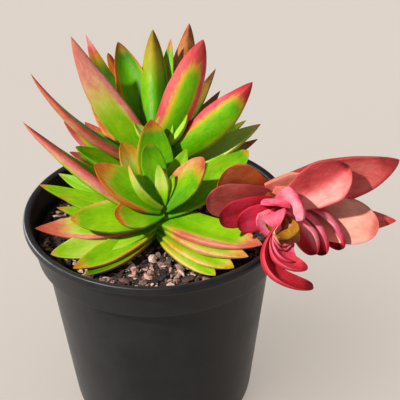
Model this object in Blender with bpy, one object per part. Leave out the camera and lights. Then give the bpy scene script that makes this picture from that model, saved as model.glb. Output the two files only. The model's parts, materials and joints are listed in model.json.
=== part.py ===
# Potted campfire crassula: three leafy stems in a black nursery pot.
# Lengths are in metres unless a name or a comment says millimetres. The pot stands on z = 0.

import math
from collections import namedtuple

import bmesh
import bpy
import numpy as np

MM = 0.001

for old in list(bpy.data.objects):
    bpy.data.objects.remove(old, do_unlink=True)

# Driving sizes, in millimetres
POT_HEIGHT = 110.0
RIM_RADIUS = 65.0
LIP_WIDTH = 2.7
LIP_HEIGHT = 4.2
COLLAR_FOOT_RADIUS = 59.0
COLLAR_FOOT_HEIGHT = 89.7
WALL_TOP_RADIUS = 55.3
BASE_RADIUS = 43.8
WALL = 1.5
FLOOR_HEIGHT = 3.0
FLOOR_THICKNESS = 2.0
FOOT_RING_WIDTH = 3.5
MIDDLE_PAD_RADIUS = 17.0
DRAIN_HOLES = 6
DRAIN_HOLE_RADIUS = 4.0
DRAIN_HOLE_CIRCLE = 29.0
NOTCHES = 6
NOTCH_WIDTH = 9.0
NOTCH_HEIGHT = 2.2
GAP = 0.3
SOIL_HEIGHT = 97.0
SOIL_ROUGHNESS = 1.0
CHIPS = 54
PEG_FOOT_HEIGHT = 72.0
POT_SIDES = 48
SOIL_SIDES = 32


def material(name, colour, roughness):
    """A plain Principled material."""
    made = bpy.data.materials.new(name)
    made.use_nodes = True
    shader = made.node_tree.nodes["Principled BSDF"]
    shader.inputs["Base Color"].default_value = (*colour, 1.0)
    shader.inputs["Roughness"].default_value = roughness
    return made


def solid(name, points, faces, made_of):
    """One object from points in millimetres and faces that are turned to look outwards."""
    mesh = bpy.data.meshes.new(name)
    mesh.from_pydata([tuple(p) for p in np.asarray(points) * MM], [], faces)
    work = bmesh.new()
    work.from_mesh(mesh)
    bmesh.ops.recalc_face_normals(work, faces=work.faces)
    if work.calc_volume(signed=True) < 0:
        bmesh.ops.reverse_faces(work, faces=work.faces)
    work.to_mesh(mesh)
    work.free()
    mesh.materials.append(made_of)
    made = bpy.data.objects.new(name, mesh)
    bpy.context.scene.collection.objects.link(made)
    return made


def turned(name, profile, sides, made_of, top=None):
    """A profile of (radius, height) run round the z axis; a radius of 0 gives one point there."""
    points = []
    rows = []
    for radius, height in profile:
        start = len(points)
        if radius == 0:
            points.append((0.0, 0.0, height))
            rows.append([start] * sides)
            continue
        for k in range(sides):
            turn = 2 * math.pi * k / sides
            x = radius * math.cos(turn)
            y = radius * math.sin(turn)
            points.append((x, y, height if top is None else height + top(x, y, height)))
        rows.append([start + k for k in range(sides)])
    closed = profile[0][0] > 0
    faces = []
    for i in range(len(rows) if closed else len(rows) - 1):
        low = rows[i]
        high = rows[(i + 1) % len(rows)]
        for k in range(sides):
            n = (k + 1) % sides
            corner = list(dict.fromkeys([low[k], low[n], high[n], high[k]]))
            if len(corner) > 2:
                faces.append(corner)
    return solid(name, points, faces, made_of)


def boolean(target, operation, others, solver="EXACT"):
    """Joins the others to the target, or cuts them from it, and removes them."""
    group = bpy.data.collections.new("work")
    bpy.context.scene.collection.children.link(group)
    for other in others:
        bpy.context.scene.collection.objects.unlink(other)
        group.objects.link(other)
    modifier = target.modifiers.new("work", "BOOLEAN")
    modifier.operation = operation
    modifier.operand_type = "COLLECTION"
    modifier.collection = group
    modifier.solver = solver
    bpy.context.view_layer.objects.active = target
    bpy.ops.object.modifier_apply(modifier=modifier.name)
    for other in others:
        bpy.data.objects.remove(other, do_unlink=True)
    bpy.data.collections.remove(group)


def drop_scraps(target):
    """Keeps the largest connected piece of the mesh."""
    work = bmesh.new()
    work.from_mesh(target.data)
    left = set(work.verts)
    pieces = []
    while left:
        start = left.pop()
        piece = {start}
        edge_of = [start]
        while edge_of:
            here = edge_of.pop()
            for edge in here.link_edges:
                there = edge.other_vert(here)
                if there in left:
                    left.discard(there)
                    piece.add(there)
                    edge_of.append(there)
        pieces.append(piece)
    pieces.sort(key=len)
    for piece in pieces[:-1]:
        bmesh.ops.delete(work, geom=list(piece), context="VERTS")
    work.to_mesh(target.data)
    work.free()


def smooth(target, degrees):
    """Rounds the shading of faces that meet at less than the angle."""
    bpy.ops.object.select_all(action="DESELECT")
    target.select_set(True)
    bpy.context.view_layer.objects.active = target
    bpy.ops.object.shade_smooth()
    target.data.set_sharp_from_angle(angle=math.radians(degrees))


# Materials
black_plastic = material("black_plastic", (0.035, 0.033, 0.033), 0.45)
compost = material("compost", (0.20, 0.14, 0.11), 0.95)
green_leaf = material("green_leaf", (0.33, 0.48, 0.05), 0.4)
red_leaf = material("red_leaf", (0.55, 0.09, 0.07), 0.4)

# Pot: rolled lip, collar and tapered wall. It stands on a notched foot ring and on the flat middle of
# its floor; the drain holes are in the raised channel between them.
collar_top_radius = RIM_RADIUS - LIP_WIDTH
lip_foot = POT_HEIGHT - LIP_HEIGHT
collar_step = COLLAR_FOOT_HEIGHT + 0.6
pot = turned(
    "pot",
    [
        (RIM_RADIUS - 1.0, POT_HEIGHT - 0.1),
        (RIM_RADIUS - 0.3, POT_HEIGHT - 0.6),
        (RIM_RADIUS, POT_HEIGHT - 1.5),
        (RIM_RADIUS - 0.1, lip_foot + 0.7),
        (RIM_RADIUS - 0.6, lip_foot),
        (collar_top_radius, lip_foot),
        (COLLAR_FOOT_RADIUS + 0.1, COLLAR_FOOT_HEIGHT + 0.4),
        (COLLAR_FOOT_RADIUS - 0.4, COLLAR_FOOT_HEIGHT),
        (WALL_TOP_RADIUS, COLLAR_FOOT_HEIGHT - 0.3),
        (BASE_RADIUS + 0.8, 8.0),
        (BASE_RADIUS + 0.2, 3.0),
        (BASE_RADIUS - 0.7, 0.9),
        (BASE_RADIUS - 1.7, 0.0),
        (BASE_RADIUS - FOOT_RING_WIDTH, 0.0),
        (BASE_RADIUS - FOOT_RING_WIDTH - 0.6, FLOOR_HEIGHT),
        (MIDDLE_PAD_RADIUS + 1.0, FLOOR_HEIGHT),
        (MIDDLE_PAD_RADIUS, 0.0),
        (0.0, 0.0),
        (0.0, FLOOR_HEIGHT + FLOOR_THICKNESS),
        (BASE_RADIUS - 2.5, FLOOR_HEIGHT + FLOOR_THICKNESS),
        (BASE_RADIUS + 0.8 - WALL, 9.0),
        (WALL_TOP_RADIUS - WALL, COLLAR_FOOT_HEIGHT - 1.5),
        (COLLAR_FOOT_RADIUS - WALL - 0.3, collar_step + 1.0),
        (collar_top_radius - WALL, lip_foot),
        (collar_top_radius - WALL + 0.2, POT_HEIGHT - 0.8),
        (collar_top_radius - WALL + 0.9, POT_HEIGHT),
    ],
    POT_SIDES,
    black_plastic,
)
drains = []
for k in range(DRAIN_HOLES):
    turn = 2 * math.pi * (k + 0.5) / DRAIN_HOLES
    drain = turned(
        f"drain_{k}",
        [(0, -1.0), (DRAIN_HOLE_RADIUS, -1.0), (DRAIN_HOLE_RADIUS, 8.0), (0, 8.0)],
        20,
        black_plastic,
    )
    drain.location = (
        DRAIN_HOLE_CIRCLE * math.cos(turn) * MM,
        DRAIN_HOLE_CIRCLE * math.sin(turn) * MM,
        0.0,
    )
    drains.append(drain)
for k in range(NOTCHES):
    turn = math.radians(212) + 2 * math.pi * k / NOTCHES
    inner = BASE_RADIUS - FOOT_RING_WIDTH - 3.0
    outer = BASE_RADIUS + 3.0
    half = NOTCH_WIDTH / 2
    corners = [
        (r, s * half * w, z)
        for z, w in ((-1.0, 1.15), (NOTCH_HEIGHT, 0.8))
        for r, s in ((inner, -1), (outer, -1), (outer, 1), (inner, 1))
    ]
    notch = solid(
        f"notch_{k}",
        corners,
        [[3, 2, 1, 0], [4, 5, 6, 7], [0, 1, 5, 4], [1, 2, 6, 5], [2, 3, 7, 6], [3, 0, 4, 7]],
        black_plastic,
    )
    notch.rotation_euler = (0.0, 0.0, turn)
    drains.append(notch)
bpy.context.view_layer.update()
boolean(pot, "DIFFERENCE", drains)
smooth(pot, 35)

# Stems, each as points in millimetres from its foot in the soil to its growing tip
FRONT_STEM = [(-1, -8, 97), (0, -9, 106), (1, -11, 114), (3, -13, 121.5)]
SIDE_SHOOT = [(0, -9, 103), (-12, -1, 110), (-20, 0, 116)]
REAR_STEM = [(-3, 17, 97), (-3, 17, 112), (-1, 16, 126), (2, 12, 140)]
RED_STEM = [(32, 2, 97), (40, 1, 110), (47, -1, 118), (53, -6, 121.5), (58, -20, 120.5), (60, -31, 119)]
# The way that each head faces: the upper face of its leaves looks along this line
FRONT_AXIS = (0.1, -0.55, 0.8)
SIDE_AXIS = (-0.6, -0.3, 0.8)
REAR_AXIS = (0.0, -0.25, 0.95)
RED_AXIS = (0.2, -0.95, -0.02)

# Leaf: distance of its foot along the stem, heading from +x towards +y and pitch above level
# in degrees, then length, width and thickness in millimetres. bow and sweep are the sag towards
# the underside and to one side, as parts of the length; roll turns the face about the leaf's
# line; cup is the hollow of the upper face, and negative for a face that swells; widest is the
# place of the full width and blunt how sharply the tip closes (small is round).
Leaf = namedtuple(
    "Leaf",
    "at heading pitch length width thick bow sweep roll cup root widest blunt",
    defaults=(4.5, 0.03, 0.0, 0, 0.2, 0.6, 0.5, 0.85),
)

FRONT_LEAVES = [
    # fan at the left, lowest first
    Leaf(11.0, -136, -7, 47, 12, 4.0, bow=0.03, roll=15, cup=0.15),
    Leaf(14.0, -142, -6, 50, 13, bow=0.05, roll=15, cup=0.15),
    Leaf(16.5, -156, -5, 55, 16, 5.0, bow=0.07, roll=12, cup=0.15, blunt=0.75),
    Leaf(18.5, -172, -1, 59, 15, 5.0, bow=0.06, roll=15, cup=0.15, blunt=0.9),
    Leaf(19.5, 173, 37, 78, 15, 7.0, bow=0.02, roll=70, cup=0.1, widest=0.35, blunt=1.0),
    Leaf(20.5, -167, 4, 43, 17, blunt=0.75),
    Leaf(23.0, -149, 9, 25, 16, blunt=0.5),
    # fan at the right, lowest first
    Leaf(10.5, -53, -6, 45, 13, 4.0, bow=0.03, roll=-8, cup=0.15, blunt=0.8),
    Leaf(13.5, -44, -5, 49, 15, bow=0.05, roll=-12, cup=0.15, blunt=0.8),
    Leaf(16.0, -35, -4, 51, 14, 5.0, bow=0.04, roll=-20, cup=0.15, blunt=0.8),
    Leaf(18.5, -25, -4, 53, 18, 5.5, bow=0.02, roll=-20, cup=0.15, blunt=0.8),
    Leaf(20.5, 28, 21, 52, 17, bow=0.0, sweep=-0.03, widest=0.55, blunt=0.7),
    # upright leaves round the heart
    Leaf(21.5, 141, 53, 37, 13, bow=0.05, widest=0.55, blunt=0.6),
    Leaf(21.5, 99, 60, 43, 18, 5.0, blunt=0.7),
    Leaf(23.0, 43, 48, 29, 8, 4.0, bow=0.05, widest=0.45, blunt=0.8),
    Leaf(24.0, 132, 76, 32, 12, bow=0.05, widest=0.55, blunt=0.5),
    Leaf(24.0, -4, 53, 34, 15, 5.5, bow=0.05, cup=0.1, blunt=0.7),
    Leaf(25.0, -178, 38, 39, 17, bow=0.0, sweep=0.03, blunt=0.8),
    Leaf(25.0, -179, 57, 27, 9, 4.0, bow=0.08, roll=60, cup=0.3, blunt=0.8),
    Leaf(25.0, 113, 83, 21, 7, 3.5, bow=0.05, widest=0.45, blunt=0.8),
    Leaf(25.0, 20, 68, 17, 5, 2.5, bow=0.05, cup=0.3, widest=0.45, blunt=0.8),
]

SIDE_LEAVES = [
    Leaf(8.0, 179, 12, 43, 9, 3.5, widest=0.4, blunt=0.9),
    Leaf(13.0, 176, 16, 39, 9, 3.5, widest=0.4, blunt=0.9),
    Leaf(15.5, 175, 18, 47, 9, 4.0, widest=0.4, blunt=0.9),
    Leaf(23.5, 149, 10, 36, 8, 3.5, bow=0.0, widest=0.4, blunt=0.9),
]

REAR_LEAVES = [
    # lowest leaves, spread behind the pot's middle
    Leaf(15.0, 92, 2, 50, 14, 5.0, bow=0.05, cup=0.1),
    Leaf(16.0, 152, 2, 48, 13, 5.0, bow=0.05, cup=0.1),
    Leaf(16.0, 40, 3, 50, 13, 5.0, bow=0.05, cup=0.1),
    Leaf(17.0, 20, 13, 58, 9, 4.0),
    Leaf(20.0, 130, 10, 55, 14, 5.0, bow=0.04, cup=0.1),
    Leaf(20.0, 66, 8, 54, 14, 5.0, bow=0.04, cup=0.1),
    Leaf(23.0, 98, 16, 56, 15, 5.0, cup=0.1),
    Leaf(23.0, 155, 22, 52, 14, 5.0, cup=0.1),
    # left
    Leaf(19.0, -170, 29, 45, 10, 4.0, bow=0.02, blunt=0.8),
    Leaf(22.0, -168, 31, 43, 12, 4.0, blunt=0.7),
    Leaf(25.0, 125, 14, 58, 13, 4.0, bow=0.02, blunt=0.9),
    Leaf(27.0, 177, 43, 76, 12, 5.5, bow=0.085, roll=70, cup=0.1, widest=0.4, blunt=1.0),
    Leaf(31.5, 163, 58, 74, 17, 6.0, 0.02, 0.06, -50, -0.2, widest=0.35, blunt=0.95),
    Leaf(31.5, 128, 42, 72, 13, bow=0.02, sweep=0.03, widest=0.45, blunt=0.95),
    Leaf(29.0, 114, 32, 66, 7, 4.0, bow=0.02, widest=0.6, blunt=0.5),
    # back
    Leaf(33.5, 113, 43, 62, 17, 5.0, bow=0.02, cup=0.35, blunt=0.8),
    Leaf(35.5, 91, 45, 64, 14, 5.5, bow=0.02, cup=-0.2),
    Leaf(29.0, 78, 46, 64, 8, 4.0, bow=0.02, widest=0.45, blunt=0.9),
    Leaf(31.5, 73, 36, 76, 15, 5.5, sweep=-0.03, cup=-0.2, widest=0.45, blunt=0.9),
    # right
    Leaf(21.0, 4, 27, 59, 13),
    Leaf(24.0, 38, 7, 60, 8, 4.0, bow=0.02),
    Leaf(27.0, 50, 21, 56, 9, 4.0, widest=0.45, blunt=0.9),
    Leaf(29.0, 53, 30, 60, 8, 4.0, widest=0.45, blunt=0.9),
    Leaf(31.5, -8, 44, 66, 20, 7.0, sweep=-0.03, cup=-0.2),
    Leaf(37.5, 15, 67, 62, 18, 6.0, cup=-0.25, blunt=0.8),
    # small leaves round the growing tip
    Leaf(42.0, 168, 46, 17, 6, 3.0),
    Leaf(42.0, 11, 53, 21, 8, 3.5),
    Leaf(42.0, 37, 70, 16, 10, 3.5, blunt=0.6),
]

RED_LEAVES = [
    # lowest leaves, towards the pot
    Leaf(20.5, 80, 10, 30, 14, bow=0.04, cup=0.1, widest=0.55, blunt=0.7),
    Leaf(29.5, 105, 8, 26, 14, bow=0.04, cup=0.1, widest=0.55, blunt=0.7),
    # row at the upper right
    Leaf(29.5, -19, 25, 73, 20, sweep=-0.06, cup=-0.1, root=0.4, blunt=0.8),
    Leaf(31.5, 17, 21, 22, 16, 4.0, cup=0.1, blunt=0.6),
    Leaf(44.5, -10, 33, 40, 20, sweep=0.04, cup=-0.1, widest=0.55, blunt=0.6),
    Leaf(48.5, -46, 32, 21, 17, 3.0, bow=0.1, cup=0.3, widest=0.6, blunt=0.6),
    # row at the left
    Leaf(33.0, -157, 31, 30, 20, 4.0, cup=0.1, widest=0.6, blunt=0.45),
    Leaf(38.0, -151, 17, 36, 19, 4.0, cup=0.1, widest=0.6, blunt=0.45),
    Leaf(43.0, -146, 10, 32, 16, 4.0, cup=0.1, widest=0.6, blunt=0.45),
    Leaf(48.5, -148, 9, 25, 14, 4.0, cup=0.1, widest=0.6, blunt=0.45),
    Leaf(53.5, -138, -2, 15, 10, 3.0, bow=0.1, cup=0.3, widest=0.55, blunt=0.6),
    # row at the lower right
    Leaf(34.5, 25, -4, 48, 15, bow=0.04, cup=0.1, widest=0.55, blunt=0.7),
    Leaf(35.5, -8, -9, 62, 11, sweep=-0.07, cup=0.1, blunt=0.8),
    Leaf(40.0, -14, -9, 52, 19, cup=0.1, widest=0.6, blunt=0.45),
    Leaf(43.0, -24, -23, 38, 12, 4.0, bow=0.1, widest=0.6, blunt=0.5),
    Leaf(47.5, -32, -32, 29, 11, 4.0, bow=0.1, widest=0.6, blunt=0.5),
    Leaf(51.5, -35, -36, 22, 10, 3.0, bow=0.1, widest=0.6, blunt=0.5),
    # row that hangs over the rim
    Leaf(60.0, -60, -40, 31, 10, 3.0, -0.09, -0.42, -19, cup=0.3, widest=0.6, blunt=0.45),
    Leaf(60.0, -62, -27, 24, 11, 3.5, 0.0, -0.36, -19, cup=0.3, widest=0.6, blunt=0.45),
    Leaf(60.0, -73, -19, 18, 11, 3.0, 0.05, -0.28, -10, cup=0.3, widest=0.6, blunt=0.45),
    Leaf(60.0, -83, -10, 13, 10, 3.0, 0.1, -0.15, cup=0.3, widest=0.6, blunt=0.45),
    # small leaves round the growing tip
    Leaf(53.5, -113, 58, 16, 11, 3.0, bow=0.1, cup=0.3, widest=0.6, blunt=0.6),
    Leaf(56.5, -67, -3, 14, 9, 3.0, bow=0.08, cup=0.3, widest=0.55, blunt=0.9),
    Leaf(58.0, -108, 57, 10, 11, 3.0, bow=0.1, cup=0.3, widest=0.6, blunt=0.6),
    Leaf(59.0, -99, -10, 11, 11, 3.0, bow=0.1, cup=0.35, widest=0.6, blunt=0.5),
    Leaf(59.0, -127, 4, 11, 9, 3.0, bow=0.1, cup=0.35, widest=0.6, blunt=0.5),
]


def unit(v):
    """The vector at length 1."""
    v = np.asarray(v, float)
    return v / np.linalg.norm(v)


def place_on(stem, distance):
    """The point at a distance in millimetres from the first point along the stem."""
    points = np.array(stem, float)
    steps = np.linalg.norm(np.diff(points, axis=0), axis=1)
    at = np.concatenate([[0.0], np.cumsum(steps)])
    return np.array([np.interp(distance, at, points[:, i]) for i in range(3)])


LEAF_STATIONS = (0.0, 0.22, 0.48, 0.74, 0.93)
LEAF_SIDES = 5


def leaf_solid(name, stem, axis, shape, made_of):
    """A thick blade: rings of five points along the leaf's line, closed by a point at each end."""
    heading = math.radians(shape.heading)
    pitch = math.radians(shape.pitch)
    along = np.array(
        [
            math.cos(pitch) * math.cos(heading),
            math.cos(pitch) * math.sin(heading),
            math.sin(pitch),
        ]
    )
    face = unit(np.array(axis) - along * (np.array(axis) @ along))
    turn = math.radians(shape.roll)
    face = face * math.cos(turn) + np.cross(along, face) * math.sin(turn)
    side = np.cross(along, face)
    foot = place_on(stem, shape.at)

    def line(u):
        sag = 4 * shape.length * u * (1 - u)
        return foot + along * shape.length * u - (face * shape.bow + side * shape.sweep) * sag

    points = []
    for u in LEAF_STATIONS:
        ahead = unit(line(u + 0.01) - line(u - 0.01))
        normal = unit(face - ahead * (face @ ahead))
        across = np.cross(ahead, normal)
        if u < shape.widest:
            spread = shape.root + (1 - shape.root) * math.sin(math.pi / 2 * u / shape.widest)
        else:
            spread = (1 - ((u - shape.widest) / (1 - shape.widest)) ** 1.9) ** shape.blunt
        half = shape.width / 2 * spread
        deep = shape.thick * (0.8 + 0.2 * math.sin(math.pi * min(u / 0.8, 1))) * (1 - u**3.5) ** 0.8
        deep = min(deep, half * 1.3)
        rise = half * abs(shape.cup)
        margin = rise if shape.cup > 0 else 0.0
        crown = 0.0 if shape.cup > 0 else rise
        for a, b in (
            (-1.0, margin),
            (0.0, crown),
            (1.0, margin),
            (0.6, -0.95 * deep),
            (-0.6, -0.95 * deep),
        ):
            points.append(line(u) + across * half * a + normal * b)
    rings = len(LEAF_STATIONS)
    points.append(line(-0.03))
    points.append(line(1.0))
    faces = []
    for i in range(rings - 1):
        for k in range(LEAF_SIDES):
            n = (k + 1) % LEAF_SIDES
            low = i * LEAF_SIDES
            high = low + LEAF_SIDES
            faces.append([low + k, low + n, high + n])
            faces.append([low + k, high + n, high + k])
    last = LEAF_SIDES * (rings - 1)
    for k in range(LEAF_SIDES):
        n = (k + 1) % LEAF_SIDES
        faces.append([LEAF_SIDES * rings, n, k])
        faces.append([LEAF_SIDES * rings + 1, last + k, last + n])
    return solid(name, points, faces, made_of)


def stem_solid(name, stem, radii, sides, made_of):
    """A stem of round section: a ring of points at each point of its line, and a point at the tip."""
    path = [np.array(p, float) for p in stem]
    points = []
    for i, place in enumerate(path):
        before = path[max(i - 1, 0)]
        after = path[min(i + 1, len(path) - 1)]
        ahead = unit(after - before)
        across = unit(np.cross(ahead, (0.0, 1.0, 0.13)))
        normal = np.cross(across, ahead)
        for k in range(sides):
            turn = 2 * math.pi * (k + 0.37) / sides
            ring = across * math.cos(turn) + normal * math.sin(turn)
            points.append(place + ring * radii[i])
    ahead = unit(path[-1] - path[-2])
    points.append(path[0])
    points.append(path[-1] + ahead * radii[-1] * 0.6)
    count = len(path)
    faces = []
    for i in range(count - 1):
        for k in range(sides):
            n = (k + 1) % sides
            faces.append([i * sides + k, i * sides + n, (i + 1) * sides + n, (i + 1) * sides + k])
    for k in range(sides):
        n = (k + 1) % sides
        faces.append([count * sides, n, k])
        faces.append([count * sides + 1, (count - 1) * sides + k, (count - 1) * sides + n])
    return solid(name, points, faces, made_of)


def peg(stem):
    """The stem with a straight peg added below its foot, which stands in the hole in the soil."""
    x, y, _ = stem[0]
    return [(x, y, PEG_FOOT_HEIGHT)] + list(stem)


# Front green head, with the side shoot at its left
STEM_RADIUS = 3.6
RED_STEM_RADIUS = 3.2
front = stem_solid(
    "front_green_head", peg(FRONT_STEM), [STEM_RADIUS, STEM_RADIUS, 3.6, 3.4, 2.6], 8, green_leaf
)
parts = [stem_solid("shoot", SIDE_SHOOT, [2.4, 2.3, 1.8], 7, green_leaf)]
for k, shape in enumerate(FRONT_LEAVES):
    parts.append(leaf_solid(f"front_{k}", FRONT_STEM, FRONT_AXIS, shape, green_leaf))
for k, shape in enumerate(SIDE_LEAVES):
    parts.append(leaf_solid(f"side_{k}", SIDE_SHOOT, SIDE_AXIS, shape, green_leaf))
boolean(front, "UNION", parts)
drop_scraps(front)
smooth(front, 40)

# Rear green head
rear = stem_solid(
    "rear_green_head", peg(REAR_STEM), [STEM_RADIUS, STEM_RADIUS, 3.7, 3.5, 2.6], 8, green_leaf
)
parts = []
for k, shape in enumerate(REAR_LEAVES):
    parts.append(leaf_solid(f"rear_{k}", REAR_STEM, REAR_AXIS, shape, green_leaf))
boolean(rear, "UNION", parts)
drop_scraps(rear)
smooth(rear, 40)

# Red head, on a stem that arches over the rim
red = stem_solid(
    "red_head", peg(RED_STEM), [RED_STEM_RADIUS, RED_STEM_RADIUS, 3.2, 3.1, 3.0, 2.8, 2.2], 8, red_leaf
)
parts = []
for k, shape in enumerate(RED_LEAVES):
    parts.append(leaf_solid(f"red_{k}", RED_STEM, RED_AXIS, shape, red_leaf))
boolean(red, "UNION", parts)
drop_scraps(red)
smooth(red, 40)

# Soil: it fills the pot to 13 mm below the rim, with a hollow surface that rises a little to the wall
inner_foot = BASE_RADIUS + 0.8 - WALL - GAP
inner_top = WALL_TOP_RADIUS - WALL - GAP
soil_top_radius = 58.3
rng = np.random.default_rng(7)
waves = rng.uniform(-1, 1, (9, 4))


def uneven(x, y, height):
    """Height of the soil's surface over its level: nine slow waves of seeded direction."""
    if height < SOIL_HEIGHT - 3:
        return 0.0
    fade = min(1.0, (62.0 - math.hypot(x, y)) / 12.0)
    total = sum(math.sin(a * 0.16 * x + b * 0.16 * y + 6 * c) * d for a, b, c, d in waves)
    return SOIL_ROUGHNESS * 0.45 * fade * total


soil = turned(
    "soil",
    [
        (0.0, FLOOR_HEIGHT + FLOOR_THICKNESS + GAP),
        (BASE_RADIUS - 3.0, FLOOR_HEIGHT + FLOOR_THICKNESS + GAP),
        (inner_foot, 9.6),
        (inner_top - 0.2, COLLAR_FOOT_HEIGHT - 1.0),
        (soil_top_radius - 1.6, COLLAR_FOOT_HEIGHT + 2.6),
        (soil_top_radius, SOIL_HEIGHT + 0.3),
        (49.0, SOIL_HEIGHT),
        (37.0, SOIL_HEIGHT - 0.4),
        (24.0, SOIL_HEIGHT - 0.5),
        (12.0, SOIL_HEIGHT - 0.3),
        (0.0, SOIL_HEIGHT),
    ],
    SOIL_SIDES,
    compost,
    uneven,
)

# Chips of bark and pumice, sunk by half into the surface and clear of the stems
chips = []
while len(chips) < CHIPS:
    reach = 55.0 * math.sqrt(rng.uniform(0.01, 1.0))
    turn = rng.uniform(0, 2 * math.pi)
    x = reach * math.cos(turn)
    y = reach * math.sin(turn)
    near_stem = min(math.hypot(x - s[0][0], y - s[0][1]) for s in (FRONT_STEM, REAR_STEM, RED_STEM))
    if near_stem < 9.0:
        continue
    size = np.array([rng.uniform(1.8, 3.6), rng.uniform(1.4, 2.6), rng.uniform(0.9, 1.5)])
    tilt = rng.uniform(-0.3, 0.3, 2)
    spin = rng.uniform(0, 2 * math.pi)
    place = np.array([x, y, SOIL_HEIGHT - 0.2 + uneven(x, y, SOIL_HEIGHT) + 0.3])
    corners = []
    for sx, sy, sz in (
        (-1, -1, -1), (1, -1, -1), (1, 1, -1), (-1, 1, -1),
        (-1, -1, 1), (1, -1, 1), (1, 1, 1), (-1, 1, 1),
    ):
        p = np.array([sx, sy, sz]) * size * rng.uniform(0.6, 1.0, 3)
        x0, y0, z0 = p
        z0 += tilt[0] * x0 + tilt[1] * y0
        corners.append(
            place
            + (
                x0 * math.cos(spin) - y0 * math.sin(spin),
                x0 * math.sin(spin) + y0 * math.cos(spin),
                z0,
            )
        )
    faces = [[3, 2, 1, 0], [4, 5, 6, 7], [0, 1, 5, 4], [1, 2, 6, 5], [2, 3, 7, 6], [3, 0, 4, 7]]
    halves = [half for a, b, c, d in faces for half in ([a, b, c], [a, c, d])]
    chips.append(solid(f"chip_{len(chips)}", corners, halves, compost))
boolean(soil, "UNION", chips)

# A plain hole for each stem
holes = []
for k, (stem, radius) in enumerate(
    ((FRONT_STEM, STEM_RADIUS), (REAR_STEM, STEM_RADIUS), (RED_STEM, RED_STEM_RADIUS + 0.5))
):
    hole = turned(
        f"hole_{k}",
        [
            (0, PEG_FOOT_HEIGHT - GAP),
            (radius + 0.5, PEG_FOOT_HEIGHT - GAP),
            (radius + 0.5, SOIL_HEIGHT + 6),
            (0, SOIL_HEIGHT + 6),
        ],
        20,
        compost,
    )
    hole.location = (stem[0][0] * MM, stem[0][1] * MM, 0.0)
    holes.append(hole)
bpy.context.view_layer.update()
boolean(soil, "DIFFERENCE", holes)
drop_scraps(soil)
smooth(soil, 30)
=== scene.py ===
# Potted campfire crassula: the looks of the pot, the soil with its bark chips and the three leafy heads.
# The scene is in metres; sizes are in millimetres and are brought to metres where a mesh is made.

import json
import math
from collections import namedtuple

import bpy
import numpy as np
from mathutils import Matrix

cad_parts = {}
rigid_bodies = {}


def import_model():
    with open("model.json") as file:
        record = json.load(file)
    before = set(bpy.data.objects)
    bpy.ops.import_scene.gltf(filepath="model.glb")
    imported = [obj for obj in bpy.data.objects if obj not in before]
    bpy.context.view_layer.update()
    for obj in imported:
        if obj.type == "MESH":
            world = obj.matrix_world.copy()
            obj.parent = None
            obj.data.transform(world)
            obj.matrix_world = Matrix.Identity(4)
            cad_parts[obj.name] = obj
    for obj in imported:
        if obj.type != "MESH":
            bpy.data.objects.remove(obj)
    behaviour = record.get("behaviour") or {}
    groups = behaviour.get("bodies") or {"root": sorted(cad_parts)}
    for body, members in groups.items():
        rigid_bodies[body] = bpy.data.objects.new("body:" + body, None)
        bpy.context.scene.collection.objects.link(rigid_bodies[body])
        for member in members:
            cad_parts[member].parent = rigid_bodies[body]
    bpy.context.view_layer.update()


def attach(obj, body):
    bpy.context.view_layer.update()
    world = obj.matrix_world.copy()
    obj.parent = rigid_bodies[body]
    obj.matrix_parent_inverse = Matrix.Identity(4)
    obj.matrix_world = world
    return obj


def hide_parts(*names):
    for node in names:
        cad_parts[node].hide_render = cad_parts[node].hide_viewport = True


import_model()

# Pot
# Nursery pot, blow-moulded in one piece from black polypropylene: rolled lip, collar, tapered wall,
# and a floor with drain holes that stands on a notched ring and on its flat middle.

POT_SEGMENTS = 240
BASE_RADIUS = 43.8
NOTCHES = 6
FIRST_NOTCH = math.radians(212)
NOTCH_WIDTH = 8.5
NOTCH_HEIGHT = 2.2
DRAIN_HOLES = 6
DRAIN_HOLE_RADIUS = 4.0
DRAIN_HOLE_CIRCLE = 29.0

# Corners of the section as (radius, height, rounding): floor, inside of the wall, lip, outside, underside
POT_SECTION = [
    (0.0, 5.0, 0.0),
    (41.3, 5.0, 1.5),
    (43.2, 9.2, 3.0),
    (53.8, 88.2, 0.8),
    (57.3, 91.2, 1.2),
    (60.9, 105.7, 3.0),
    (61.2, 109.2, 1.0),
    (62.6, 110.0, 0.8),
    (64.5, 110.0, 0.9),
    (65.0, 108.0, 1.4),
    (64.7, 105.8, 1.1),
    (62.3, 105.9, 0.5),
    (59.1, 90.3, 0.8),
    (58.5, 89.7, 0.5),
    (55.3, 89.4, 0.6),
    (44.9, 9.5, 4.0),
    (44.0, 4.5, 3.0),
    (41.8, 0.0, 1.2),
    (40.4, 0.0, 0.5),
    (39.7, 3.0, 0.6),
    (18.0, 3.0, 0.6),
    (17.0, 0.0, 0.5),
    (0.0, 0.0, 0.0),
]


def rounded_section(corners, steps=6, spacing=5.0):
    """An open line through the corners. Each corner becomes a parabola between the two points that lie
    one rounding away from it on its edges, and long straights get points at about the spacing."""
    places = [np.array(c[:2]) for c in corners]
    points = [places[0]]
    for i in range(1, len(places) - 1):
        before = places[i - 1] - places[i]
        after = places[i + 1] - places[i]
        room = 0.45 * min(np.linalg.norm(before), np.linalg.norm(after))
        reach = min(corners[i][2], room)
        enter = places[i] + before / np.linalg.norm(before) * reach
        leave = places[i] + after / np.linalg.norm(after) * reach
        t = np.linspace(0, 1, steps)[:, None]
        points.extend((1 - t) ** 2 * enter + 2 * t * (1 - t) * places[i] + t**2 * leave)
    points.append(places[-1])
    filled = [points[0]]
    for here, there in zip(points[:-1], points[1:]):
        count = max(1, int(np.linalg.norm(there - here) / spacing))
        filled.extend(here + (there - here) * k / count for k in range(1, count + 1))
    return np.array(filled)


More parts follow.
